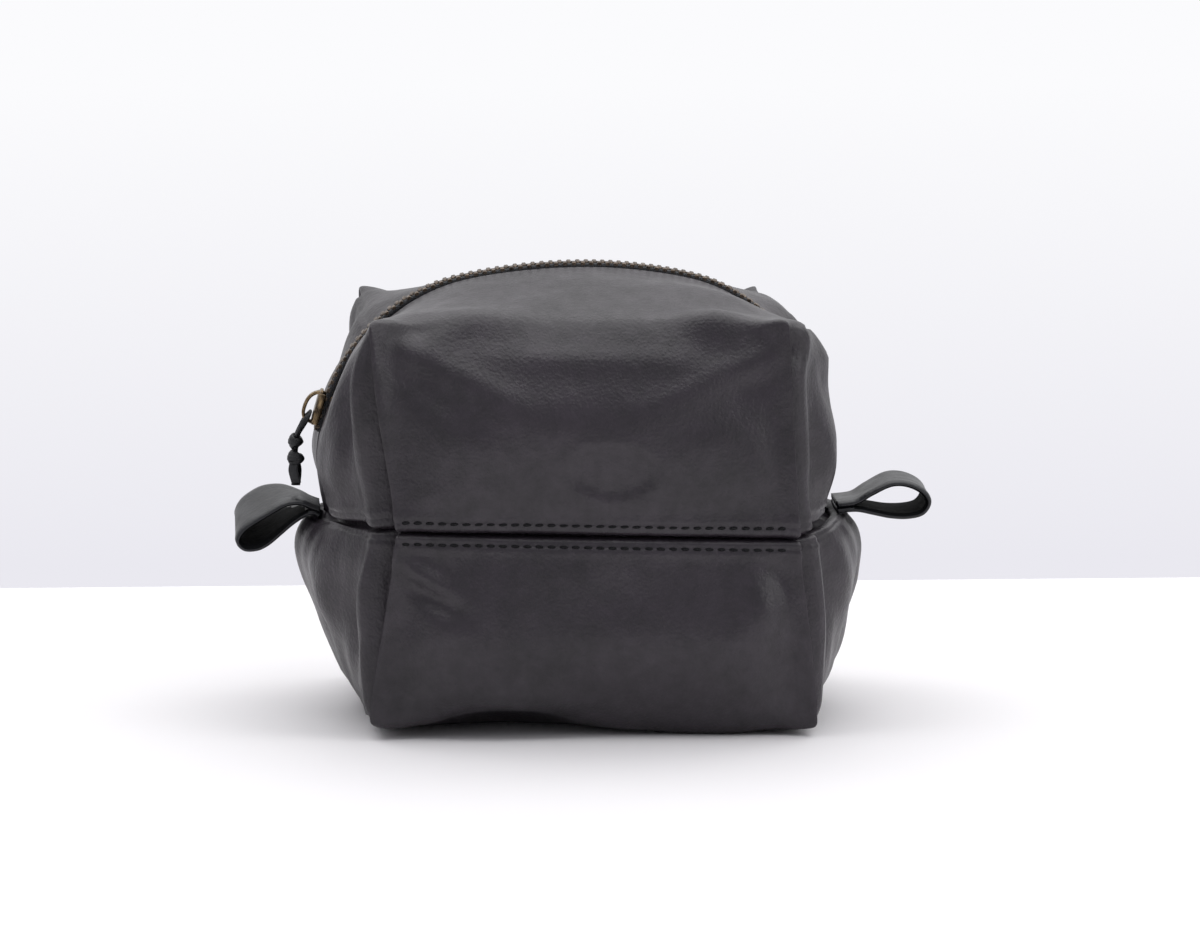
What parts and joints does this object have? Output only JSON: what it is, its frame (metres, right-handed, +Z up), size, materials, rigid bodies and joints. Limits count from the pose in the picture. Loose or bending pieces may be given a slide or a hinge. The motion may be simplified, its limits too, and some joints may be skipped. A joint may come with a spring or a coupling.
{
  "type": "shaving kit bag",
  "caption": "Soft black leather wash bag with a domed zipped top, double-stitched mid seam, folded strap loops at both ends and a knotted thong pull.",
  "frame": {"origin": "centre of the footprint, on the surface that the bag stands on", "axes": "+X along the zip to the end without the pull, +Y from the front face to the back face, +Z up"},
  "size_m": [0.1934, 0.117, 0.1256],
  "materials": {
    "leather": "satin, fine grain",
    "strap": "satin",
    "thong": "matte",
    "lining": "matte weave",
    "zip_tape": "matte weave",
    "thread": "waxed",
    "zip_metal": "antique",
    "slider_metal": "dark antique"
  },
  "bodies": {
    "bag": {"front_upper_panel": "leather", "back_upper_panel": "leather", "bottom_panel": "leather", "lining_front": "lining", "lining_back": "lining", "zip_tape_front": "zip_tape", "zip_tape_back": "zip_tape", "zip_teeth_front_far": "zip_metal", "zip_teeth_back_far": "zip_metal", "zip_top_stop_front": "zip_metal", "zip_top_stop_back": "zip_metal", "zip_bottom_stop": "zip_metal", "front_stitch_upper": "thread", "front_stitch_lower": "thread", "back_stitch_upper": "thread", "back_stitch_lower": "thread"},
    "front_lip": {"zip_teeth_front": "zip_metal"},
    "back_lip": {"zip_teeth_back": "zip_metal"},
    "slider": {"slider_body": "slider_metal", "slider_bridge": "slider_metal"},
    "pull": {"pull_thong": "thong"},
    "left_strap": {"left_loop": "strap"},
    "right_strap": {"right_loop": "strap"}
  },
  "joints": [
    {"name": "zip_travel", "type": "hinge", "parent": "bag", "child": "slider", "pos_m": [-0.022, 0, 0.07], "axis": [0, 1, 0], "range_deg": [0, 61.7], "deforming": ["zip_teeth_front", "zip_teeth_back"]},
    {"name": "front_mouth_open", "type": "hinge", "parent": "bag", "child": "front_lip", "pos_m": [-0.0746, 0, 0.057], "axis": [0.5383, 0, 0.8427], "range_deg": [0, 35]},
    {"name": "back_mouth_open", "type": "hinge", "parent": "bag", "child": "back_lip", "pos_m": [-0.0746, 0, 0.057], "axis": [-0.5383, 0, -0.8427], "range_deg": [0, 35]},
    {"name": "pull_swing", "type": "hinge", "parent": "slider", "child": "pull", "pos_m": [-0.0762, 0, 0.08345], "axis": [0, 1, 0], "range_deg": [0, 120]},
    {"name": "left_strap_flex", "type": "hinge", "parent": "bag", "child": "left_strap", "pos_m": [-0.0755, 0, 0.0575], "axis": [0, 1, 0], "range_deg": [0, 14], "stiffness_Nm_per_rad": 0.01},
    {"name": "right_strap_flex", "type": "hinge", "parent": "bag", "child": "right_strap", "pos_m": [0.0755, 0, 0.0575], "axis": [0, -1, 0], "range_deg": [-5, 40], "stiffness_Nm_per_rad": 0.01}
  ],
  "couplings": [
    {"joint": "front_mouth_open", "follows": "zip_travel", "ratio": 0.567},
    {"joint": "back_mouth_open", "follows": "zip_travel", "ratio": 0.567}
  ]
}
